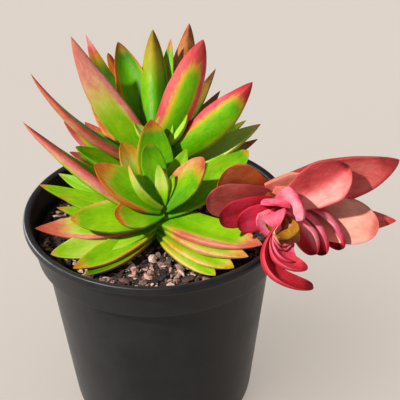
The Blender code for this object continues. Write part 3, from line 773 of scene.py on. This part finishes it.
def waxy_skin(name, streaks, flecks, scatter):
    """Leaf skin: the shared colours over firm wet flesh that lets a little light through."""
    made, shader, add, link = new_material(name)
    shared = add("Group", [("node_tree", skin)], Streaks=streaks, Flecks=flecks)
    for field, socket in (("tone", "Tone"), ("blush", "Blush"), ("rose", "Rose")):
        read = add("Attribute", [("attribute_name", field)])
        link(read.outputs["Fac"], shared.inputs[socket])
    place = add("Attribute", [("attribute_name", "leaf_place")])
    link(place.outputs["Vector"], shared.inputs["Place"])
    link(shared.outputs["Color"], shader.inputs["Base Color"])
    link(shared.outputs["Roughness"], shader.inputs["Roughness"])
    bump = add("Bump", Strength=0.35, Distance=0.0003)
    link(shared.outputs["Height"], bump.inputs["Height"])
    link(bump.outputs["Normal"], shader.inputs["Normal"])
    shader.inputs["Specular IOR Level"].default_value = 0.12
    shader.inputs["Subsurface Weight"].default_value = 0.12
    shader.inputs["Subsurface Radius"].default_value = scatter
    shader.inputs["Subsurface Scale"].default_value = 0.004
    return made


green_leaf = waxy_skin("green_leaf", 0.12, 0.12, (0.6, 1.0, 0.2))
red_leaf = waxy_skin("red_leaf", 0.12, 0.12, (1.0, 0.3, 0.2))


def head(name, stem, radii, axis, rows, finish, node, slot, peg=(), flush=0.0, deepen=0.0, seed=1):
    """A stem, with a straight peg in the soil where it has one, and the leaves on it, with seeded small
    differences between them."""
    chances = np.random.default_rng(seed).uniform(0, 1, (len(rows), 4))
    grown(name + "_stem", [stem_tube(list(peg) + stem, radii, flush)], finish, node, slot)
    blades = [leaf_blade(stem, axis, row, c, flush, deepen) for row, c in zip(rows, chances)]
    grown(name + "_leaves", blades, finish, node, slot)


# Front green head
# The lowest and brightest of the three: two fans of leaves that lie out over the soil to the left and the
# right, and short upright leaves round its growing point.

FRONT_STEM = [(-1, -8, 97), (0, -9, 106), (1, -11, 114), (3, -13, 121.5)]
FRONT_AXIS = (0.1, -0.55, 0.8)
FRONT_LEAVES = [
    # fan at the left, lowest first
    Leaf(11.0, -136, -7, 47, 12, 4.0, bow=0.03, roll=15, cup=0.15, tone=0.65, glow=0.4, rose=0, left=0.3),
    Leaf(
        14.0, -142, -6, 50, 13, bow=0.05, roll=15, cup=0.15,
        tone=0.35, glow=0.6, rose=0, tip=0.25, left=0.3, right=0.2,
    ),
    Leaf(
        16.5, -156, -5, 55, 16, 5.0, bow=0.07, roll=12, cup=0.15, blunt=0.75,
        tone=0.15, glow=0.4, rose=0, left=0.2, right=0.15, base=0.35, line=-0.4,
    ),
    Leaf(
        18.5, -172, -1, 59, 15, 5.0, bow=0.06, roll=15, cup=0.15, blunt=0.9,
        tone=0.26, glow=0.95, rose=0.35, tip=0.45, left=0.55, under=0.8, ripe=0.35, base=0.3,
    ),
    Leaf(
        19.5, 173, 37, 78, 15, 7.0, bow=0.02, roll=58, cup=0.1, widest=0.35, blunt=1.0,
        tone=0.55, rose=0.5, tip=0.4, left=0.4, keel=-0.3, line=0, ripe=0.0,
    ),
    Leaf(
        20.5, -167, 4, 43, 17, blunt=0.75,
        tone=0.3, glow=0.6, rose=0, tip=0.15, right=0.3, base=0.3,
    ),
    Leaf(
        23.0, -149, 9, 25, 16, blunt=0.5,
        tone=0.3, glow=0.8, rose=0, tip=0.25, right=0.5, base=0.3,
    ),
    # fan at the right, lowest first
    Leaf(
        10.5, -53, -6, 45, 13, 4.0, bow=0.03, roll=-8, cup=0.15, blunt=0.8,
        tone=0.25, glow=0.4, rose=0, right=0.5, base=0.35, line=-0.4,
    ),
    Leaf(
        13.5, -44, -5, 49, 15, bow=0.05, roll=-12, cup=0.15, blunt=0.8,
        tone=0.28, glow=0.5, rose=0, tip=0.25, right=0.5, base=0.3, under=0.3, line=-0.3,
    ),
    Leaf(
        16.0, -35, -4, 51, 14, 5.0, bow=0.04, roll=-20, cup=0.15, blunt=0.8,
        tone=0.24, glow=0.6, rose=0.25, tip=0.35, right=0.45, base=0.3, under=0.35, line=-0.2,
    ),
    Leaf(
        18.5, -25, -4, 53, 18, 5.5, bow=0.02, roll=-20, cup=0.15, blunt=0.8,
        tone=0.3, rose=0.35, tip=0.3, right=0.55, under=0.9, ripe=0.15, base=0.2, line=-0.1,
    ),
    Leaf(
        20.5, 28, 21, 52, 17, bow=0.0, sweep=-0.03, widest=0.55, blunt=0.7,
        tone=0.36, glow=0.45, rose=0.1, right=0.2, base=0.2, line=-0.2,
    ),
    # upright leaves round the heart
    Leaf(
        21.5, 141, 53, 37, 13, bow=0.05, widest=0.55, blunt=0.6,
        tone=0.28, glow=0.55, rose=0, tip=0.55, left=0.35, ripe=0.2,
    ),
    Leaf(
        21.5, 99, 60, 43, 18, 5.0, blunt=0.7,
        tone=0.5, glow=0.75, rose=0, tip=0.2, left=0.2, base=0.15, line=0,
    ),
    Leaf(
        23.5, 46, 53, 30, 10, 4.0, bow=0.05, widest=0.45, blunt=0.8,
        tone=0.26, glow=0.2, tip=0.15, line=-0.1,
    ),
    Leaf(
        24.0, 132, 76, 32, 12, bow=0.05, roll=-20, widest=0.55, blunt=0.5,
        tone=0.46, glow=0.3, rose=0, left=0.2, base=0.2, line=-0.3,
    ),
    Leaf(
        24.0, -4, 53, 34, 14, 5.5, bow=0.05, cup=0.1, blunt=0.7,
        tone=0.32, glow=0.72, rose=0.3, tip=0.45, left=0.85, ripe=0.1, dusk=0.15,
    ),
    Leaf(
        25.0, -178, 38, 39, 17, bow=0.0, sweep=0.03, blunt=0.8,
        tone=0.36, glow=0.85, rose=0, tip=0.4, left=0.4, base=0.25,
    ),
    Leaf(
        25.0, -179, 57, 27, 9, 4.0, bow=0.08, roll=60, cup=0.3, blunt=0.8,
        tone=0.12, glow=0.4, rose=0.4, tip=0.45, left=0.1, base=0.2, line=-0.2,
    ),
    Leaf(
        25.0, 113, 83, 21, 7, 3.5, bow=0.05, roll=-40, widest=0.45, blunt=0.8,
        tone=0.0, glow=0.1, base=0.5,
    ),
    Leaf(
        25.0, 20, 68, 17, 5, 2.5, bow=0.05, cup=0.3, widest=0.45, blunt=0.8,
        tone=0.25, glow=0.3, base=0.5,
    ),
]

# A short side shoot that leaves the stem at the left, with narrow leaves
SIDE_SHOOT = [(0, -9, 103), (-12, -1, 110), (-20, 0, 116)]
SIDE_AXIS = (-0.6, -0.3, 0.8)
SIDE_LEAVES = [
    Leaf(8.0, 179, 12, 43, 9, 3.5, widest=0.4, blunt=0.9, tone=0.3, glow=0.5, rose=0.2, tip=0.2),
    Leaf(
        13.0, 176, 16, 39, 9, 3.5, widest=0.4, blunt=0.9,
        tone=0.3, glow=0.5, rose=0.2, tip=0.25, left=0.15, line=-0.3,
    ),
    Leaf(15.5, 175, 18, 47, 9, 4.0, widest=0.4, blunt=0.9, tone=0.3, glow=0.5, rose=0.3, tip=0.15),
    Leaf(
        23.5, 149, 10, 36, 8, 3.5, bow=0.0, widest=0.4, blunt=0.9,
        tone=0.35, glow=0.3, tip=0.2, base=0.3, line=-0.3,
    ),
]
head(
    "front", FRONT_STEM, [3.6, 3.6, 3.6, 3.4, 2.6], FRONT_AXIS, FRONT_LEAVES,
    green_leaf, "front_green_head", "green_leaf", peg=[(-1, -8, 72)], seed=11,
)
head(
    "side_shoot", SIDE_SHOOT, [2.4, 2.3, 1.8], SIDE_AXIS, SIDE_LEAVES,
    green_leaf, "front_green_head", "green_leaf", seed=12,
)

# Rear green head
# The tallest: long leaves that stand up and out behind the front head, with the deepest flush on their
# tips and on the margins that look to the sun at the left.

REAR_STEM = [(-3, 17, 97), (-3, 17, 112), (-1, 16, 126), (2, 12, 140)]
REAR_AXIS = (0.0, -0.25, 0.95)
REAR_LEAVES = [
    # lowest leaves, spread behind the pot's middle
    Leaf(15.0, 92, 2, 50, 14, 5.0, bow=0.05, cup=0.1, tone=0.5, tip=0.3),
    Leaf(16.0, 152, 2, 48, 13, 5.0, bow=0.05, cup=0.1, tone=0.5, tip=0.35),
    Leaf(16.0, 40, 3, 50, 13, 5.0, bow=0.05, cup=0.1, tone=0.5, tip=0.3),
    Leaf(17.0, 20, 13, 58, 9, 4.0, tone=0.6, tip=0.3, glow=0.7),
    Leaf(20.0, 130, 10, 55, 14, 5.0, bow=0.04, cup=0.1, tone=0.45, tip=0.4, rose=0.4, left=0.4),
    Leaf(20.0, 66, 8, 54, 14, 5.0, bow=0.04, cup=0.1, tone=0.5, tip=0.3, left=0.3),
    Leaf(23.0, 98, 16, 56, 15, 5.0, cup=0.1, tone=0.45, tip=0.35, rose=0.4, left=0.5),
    Leaf(23.0, 155, 22, 52, 14, 5.0, cup=0.1, tone=0.45, tip=0.4, rose=0.5, left=0.4),
    # left
    Leaf(19.0, -170, 29, 45, 10, 4.0, bow=0.02, blunt=0.8, tone=0.3, glow=0.8, rose=0.7, tip=0.3),
    Leaf(22.0, -168, 31, 43, 12, 4.0, blunt=0.7, tone=0.38, glow=0.3, rose=0.3, right=0.15, line=-0.3),
    Leaf(
        25.0, 125, 14, 58, 13, 4.0, bow=0.02, blunt=0.9,
        tone=0.35, glow=0.75, rose=0.1, left=0.9, tip=0.5,
    ),
    Leaf(
        30.0, 177, 41, 75, 14, 5.0, bow=0.075, roll=40, cup=0.1, root=0.4, widest=0.55, blunt=1.0,
        tone=0.55, rose=0.35, tip=0.4, left=0.6, under=0.35, keel=-0.2, line=0,
    ),
    Leaf(
        31.5, 163, 58, 74, 15.5, 6.0, 0.02, 0.06, -50, -0.2, widest=0.35, blunt=0.95,
        tone=0.25, glow=0.95, rose=0.5, tip=0.72, right=0.5, ripe=0.05, base=0.2,
    ),
    # Painted light and shade: its pale tip stands for the lit end, its dark length for the shadow of the
    # leaf in front.
    Leaf(
        31.5, 128, 42, 72, 11, bow=0.02, sweep=0.03, widest=0.45, blunt=0.95,
        tone=0.85, glow=0.75, rose=1.0, tip=0.35, ripe=-0.75,
    ),
    Leaf(
        29.0, 114, 32, 66, 7, 4.0, bow=0.02, widest=0.6, blunt=0.5,
        tone=0.4, rose=0, tip=0.9, left=0.8, dusk=0.45,
    ),
    # back
    Leaf(
        33.5, 113, 43, 62, 17, 5.0, bow=0.02, cup=0.6, blunt=0.8,
        tone=0.5, glow=0.65, rose=0, tip=0.15, left=0.45, right=0.25, base=0.3, ripe=0.4,
    ),
    Leaf(
        35.5, 91, 45, 64, 14, 5.5, bow=0.02, cup=-0.55,
        tone=0.44, glow=0.42, rose=0.2, tip=0.6, dusk=0.35, ripe=0.3, line=0,
    ),
    Leaf(
        29.0, 78, 46, 64, 9, 4.0, bow=0.02, widest=0.45, blunt=0.8,
        tone=0.3, glow=0.6, rose=0.8, tip=0.15,
    ),
    Leaf(
        31.5, 73, 36, 76, 16, 5.5, sweep=-0.03, cup=-0.35, widest=0.45, blunt=0.8,
        tone=0.5, glow=0.65, rose=0.5, tip=0.8, left=0.9, dusk=0.35, ripe=0.15,
    ),
    # right
    # Painted light: the palest tone, so that this leaf still looks lit in the shade of the leaf above it.
    Leaf(
        21.0, -3, 30, 61, 14,
        tone=0.04, glow=0.6, rose=0.6, tip=0.15, base=0.1, line=-0.2,
    ),
    Leaf(24.0, 38, 7, 60, 8, 4.0, bow=0.02, tone=0.75, glow=0.4, tip=0.2),
    Leaf(
        27.0, 50, 21, 56, 9, 4.0, widest=0.45, blunt=0.9,
        tone=0.6, glow=0.6, rose=0.4, tip=0.5, right=0.5,
    ),
    Leaf(
        29.0, 53, 30, 60, 8, 4.0, widest=0.45, blunt=0.9,
        tone=0.85, glow=0.6, rose=0.3, tip=0.5, left=0.3,
    ),
    Leaf(
        31.5, -8, 44, 66, 17, 7.0, sweep=-0.03, roll=25, cup=-0.5,
        tone=0.36, rose=0.85, tip=0.25, left=1.15, right=0.1, ripe=0.4, dusk=0.1, line=-0.05,
    ),
    Leaf(
        37.5, 15, 67, 62, 17, 6.0, roll=25, cup=-0.5, blunt=0.8,
        tone=0.42, rose=0.65, tip=0.35, left=1.15, right=0.35, ripe=0.25, dusk=0.05, line=-0.05,
    ),
    # small leaves round the growing tip
    Leaf(42.0, 168, 46, 17, 6, 3.0, tone=0.05, glow=0.2, base=0.2),
    Leaf(42.0, 8, 50, 22, 10, 3.5, blunt=0.65, tone=0.14, glow=0.3, tip=0.15, base=0.2),
    Leaf(42.0, 37, 70, 17, 11, 3.5, blunt=0.6, tone=0.2, glow=0.2, base=0.2),
]
head(
    "rear", REAR_STEM, [3.6, 3.6, 3.7, 3.5, 2.6], REAR_AXIS, REAR_LEAVES,
    green_leaf, "rear_green_head", "green_leaf", peg=[(-3, 17, 72)], seed=13,
)

# Red head
# The one that has had the most sun: its stem leans out over the rim, and its leaves, orange, salmon and
# crimson, stand in four rows round a growing point that looks to the front.

RED_STEM = [
    (32, 2, 97), (40, 1, 110), (47, -1, 118), (53, -6, 121.5), (58, -20, 120.5), (60, -31, 119),
]
RED_AXIS = (0.2, -0.95, -0.02)
RED_LEAVES = [
    # lowest leaves, towards the pot
    Leaf(
        20.5, 100, -6, 24, 14, bow=0.04, cup=0.1, widest=0.55, blunt=0.7,
        tone=0.6, glow=0.9, rose=0.4,
    ),
    Leaf(
        29.5, 115, -4, 22, 14, bow=0.04, cup=0.1, widest=0.55, blunt=0.7,
        tone=0.6, glow=0.9, rose=0.4,
    ),
    # row at the upper right
    Leaf(
        29.5, -19, 25, 73, 24, sweep=-0.06, roll=-10, cup=0.1, root=0.3, blunt=0.8,
        tone=0.54, rose=0.62, left=0.3, right=0.25, tip=0.2, ripe=0.15,
    ),
    # Its lower half gets painted shadow, where the leaf in front shades it.
    Leaf(
        36.0, -5, 17, 28, 17, 4.0, cup=0.1, root=0.8, blunt=0.6,
        tone=0.28, glow=0.85, rose=0.45, dusk=0.6,
    ),
    Leaf(
        45.5, -11, 37, 42, 22, sweep=-0.03, roll=-22, cup=0.3, root=0.2, widest=0.65, blunt=0.55,
        tone=0.66, rose=0.68, dusk=-0.4, line=-0.1, base=-0.15,
    ),
    Leaf(
        48.0, -52, 38, 20, 17, 3.0, bow=0.08, roll=-50, cup=0.15, widest=0.6, blunt=0.75,
        tone=0.23, rose=1.0, line=-0.1, base=0.2,
    ),
    # row at the left
    Leaf(
        33.0, -157, 34, 28, 20, 4.0, roll=12, cup=0.1, widest=0.6, blunt=0.4,
        tone=0.44, glow=0.85, rose=0.1, ripe=-0.1, base=0.35, line=-0.1,
    ),
    Leaf(
        38.0, -151, 14, 36, 16, 4.0, roll=28, cup=0.1, widest=0.6, blunt=0.45,
        tone=0.6, rose=0.5, base=0.3, ripe=-0.05, line=-0.1,
    ),
    Leaf(
        43.0, -146, 6, 32, 13, 4.0, roll=28, cup=0.1, widest=0.6, blunt=0.45,
        tone=0.64, rose=0.95, base=0.2, line=-0.15,
    ),
    Leaf(
        48.5, -146, 2, 24, 12, 4.0, roll=28, cup=0.1, widest=0.6, blunt=0.45,
        tone=0.56, rose=1.0, base=0.15, line=-0.15,
    ),
    Leaf(
        52.0, -135, -8, 15, 14, 3.0, bow=0.05, roll=50, cup=0.2, widest=0.55, blunt=0.7,
        tone=0.27, rose=1.0, line=-0.15, base=0.1,
    ),
    # row at the lower right
    Leaf(34.5, 25, -4, 44, 15, bow=0.04, cup=0.1, widest=0.55, blunt=0.7, tone=0.42, rose=0.7),
    Leaf(
        35.5, -8, -10, 62, 15, sweep=-0.07, roll=-15, cup=0.1, blunt=0.8,
        tone=0.38, rose=0.7, glow=0.95, line=-0.1,
    ),
    Leaf(
        40.0, -14, -11, 52, 23, roll=-28, cup=0.15, widest=0.6, blunt=0.45,
        tone=0.24, rose=0.5, glow=0.95, base=0.2, ripe=0.1,
    ),
    # These three hollow leaves get painted shade inside, on the half turned from the lamp.
    Leaf(
        43.0, -22, -26, 39, 17, 3.5, bow=0.16, roll=35, cup=0.45, widest=0.65, blunt=0.4,
        tone=0.3, rose=0.95, dusk=0.55, line=-0.2,
    ),
    Leaf(
        47.5, -30, -34, 31, 15, 3.5, bow=0.16, roll=35, cup=0.45, widest=0.65, blunt=0.4,
        tone=0.3, rose=0.95, dusk=0.55, line=-0.2,
    ),
    Leaf(
        51.5, -32, -40, 25, 13, 3.5, bow=0.14, roll=35, cup=0.45, widest=0.65, blunt=0.4,
        tone=0.26, rose=0.9, dusk=0.45, line=-0.2,
    ),
    # row that hangs over the rim
    Leaf(
        59.0, -60, -40, 32, 10, 3.0, 0.25, -0.41, -60, cup=0.35, widest=0.6, blunt=0.35,
        tone=0.72, rose=0.9, line=-0.9,
    ),
    Leaf(
        59.0, -62, -30, 24, 11, 3.0, 0.19, -0.31, -52, cup=0.35, widest=0.6, blunt=0.45,
        tone=0.6, rose=0.9, line=-0.8,
    ),
    Leaf(
        59.0, -73, -33, 19, 11, 2.8, 0.16, -0.2, -35, cup=0.4, widest=0.6, blunt=0.6,
        tone=0.5, rose=0.95, line=-0.8,
    ),
    Leaf(
        59.0, -82, -38, 15, 11, 2.8, 0.12, -0.1, -15, cup=0.4, widest=0.6, blunt=0.7,
        tone=0.45, rose=0.75, line=-0.7,
    ),
    Leaf(
        59.5, -93, -31, 13, 11, 2.6, 0.14, -0.06, -5, cup=0.45, widest=0.6, blunt=0.8,
        tone=0.4, rose=0.85, line=-0.6,
    ),
    Leaf(
        59.5, -102, -22, 11.5, 10, 2.5, 0.14, 0.0, 8, cup=0.45, widest=0.6, blunt=0.85,
        tone=0.34, rose=0.6, line=-0.5,
    ),
    # small leaves round the growing tip
    Leaf(
        46.0, -100, 36, 14, 14, 3.0, bow=0.06, roll=-35, cup=0.2, widest=0.6, blunt=0.9,
        tone=0.28, rose=1.0, line=-0.1, base=0.2,
    ),
    Leaf(
        60.0, -44, -35, 10, 7, 2.5, bow=0.08, cup=0.2, widest=0.5, blunt=0.9,
        tone=0.32, glow=0.8, rose=0.5, line=-0.5,
    ),
    Leaf(
        50.5, -100, -4, 12, 12, 3.0, bow=-0.4, roll=110, cup=0.1, widest=0.55, blunt=0.7,
        tone=0.40, rose=0.95, line=-0.1, base=0.2,
    ),
    Leaf(
        56.0, -84, -5, 14, 13, 2.5, bow=0.1, roll=65, cup=0.5, widest=0.6, blunt=0.5,
        tone=0.8, glow=0.56, rose=0.1, line=-0.7,
    ),
    Leaf(
        55.0, -150, -5, 9, 10, 3.0, bow=0.1, roll=45, cup=0.4, widest=0.6, blunt=0.5,
        tone=0.8, glow=0.45, rose=0.1,
    ),
]
head(
    "red", RED_STEM, [3.2, 3.2, 3.2, 3.1, 3.0, 2.8, 2.2], RED_AXIS, RED_LEAVES,
    red_leaf, "red_head", "red_leaf", peg=[(32, 2, 72)], flush=1.0, deepen=0.25, seed=14,
)

# Floor, lights and camera
# A plain pale floor that runs out of view, and a pale even sky. A warm lamp from the left and front lights
# the plant, softer ones draw out the dark pot and keep the floor's shadow faint, and the camera looks down
# from where the photograph was taken.

mesh = bpy.data.meshes.new("floor")
mesh.from_pydata([(-3, -3, 0), (3, -3, 0), (3, 3, 0), (-3, 3, 0)], [], [(0, 1, 2, 3)])
floor = bpy.data.objects.new("floor", mesh)
bpy.context.scene.collection.objects.link(floor)
matt, shader, add, link = new_material("pale_floor")
soft = add("TexNoise", Scale=3.0, Detail=4.0)
place = add("TexCoord")
link(place.outputs["Object"], soft.inputs["Vector"])
colour = colour_ramp(add, (0.3, (0.61, 0.548, 0.49)), (0.7, (0.62, 0.558, 0.498)))
link(soft.outputs["Fac"], colour.inputs["Fac"])
link(colour.outputs["Color"], shader.inputs["Base Color"])
shader.inputs["Roughness"].default_value = 0.9
mesh.materials.append(matt)

world = bpy.data.worlds.new("studio")
bpy.context.scene.world = world
world.use_nodes = True
world.node_tree.nodes["Background"].inputs["Color"].default_value = (0.97, 0.985, 1.0, 1.0)
world.node_tree.nodes["Background"].inputs["Strength"].default_value = 0.26


def aimed(place, ahead, up):
    """The matrix, by columns, of an object at the place that looks along ahead, its top as near up as it
    can be."""
    ahead = unit(np.asarray(ahead, float))
    right = unit(np.cross(ahead, up))
    top = np.cross(right, ahead)
    return [[*right, 0.0], [*top, 0.0], [*-ahead, 0.0], [*place, 1.0]]


def lamp(name, toward, strength, spread, colour, receivers, shadows=True):
    """A far lamp that shines from the direction toward, on the receivers only, with an angular width in
    degrees that sets how soft its shadows are."""
    light = bpy.data.lights.new(name, "SUN")
    light.energy = strength
    light.angle = math.radians(spread)
    light.color = colour
    light.use_shadow = shadows
    made = bpy.data.objects.new(name, light)
    bpy.context.scene.collection.objects.link(made)
    made.matrix_world = aimed((0, 0, 1), -np.array(toward), (0, 1, 0.1))
    made.light_linking.receiver_collection = receivers


plant_set = bpy.data.collections.new("lit_plant")
for shown in list(bpy.context.scene.collection.objects):
    if shown.type == "MESH" and shown is not floor:
        plant_set.objects.link(shown)
floor_set = bpy.data.collections.new("lit_floor")
floor_set.objects.link(floor)
lamp("key", (-0.62, -0.36, 0.70), 4.8, 3.0, (1.0, 0.985, 0.95), plant_set)
pot_set = bpy.data.collections.new("lit_pot")
pot_set.objects.link(pot)
lamp("side", (-0.85, 0.45, 0.15), 8.5, 50.0, (1.0, 0.99, 0.97), pot_set)
lamp("glint", (-0.45, -0.45, 0.75), 2.2, 12.0, (1.0, 1.0, 1.0), pot_set)
lamp("floor_key", (-0.55, -0.42, 0.80), 0.95, 60.0, (1.0, 0.99, 0.97), floor_set)
lamp("floor_fill", (0.0, 0.0, 1.0), 2.2, 90.0, (1.0, 0.99, 0.97), floor_set, shadows=False)

CAMERA_PLACE = (0.0208, -0.5933, 0.5)
CAMERA_DIP = 0.5756
CAMERA_ROLL = -0.0232
ahead = np.array([0.0, math.cos(CAMERA_DIP), -math.sin(CAMERA_DIP)])
up = np.array([0.0, math.sin(CAMERA_DIP), math.cos(CAMERA_DIP)])
rolled_up = -math.sin(CAMERA_ROLL) * np.array([1.0, 0.0, 0.0]) + math.cos(CAMERA_ROLL) * up
lens = bpy.data.cameras.new("camera")
lens.lens = 132.18
lens.sensor_width = 36.0
lens.clip_start = 0.01
camera = bpy.data.objects.new("camera", lens)
bpy.context.scene.collection.objects.link(camera)
camera.matrix_world = aimed(CAMERA_PLACE, ahead, rolled_up)
bpy.context.scene.camera = camera
bpy.context.scene.view_settings.view_transform = "Standard"
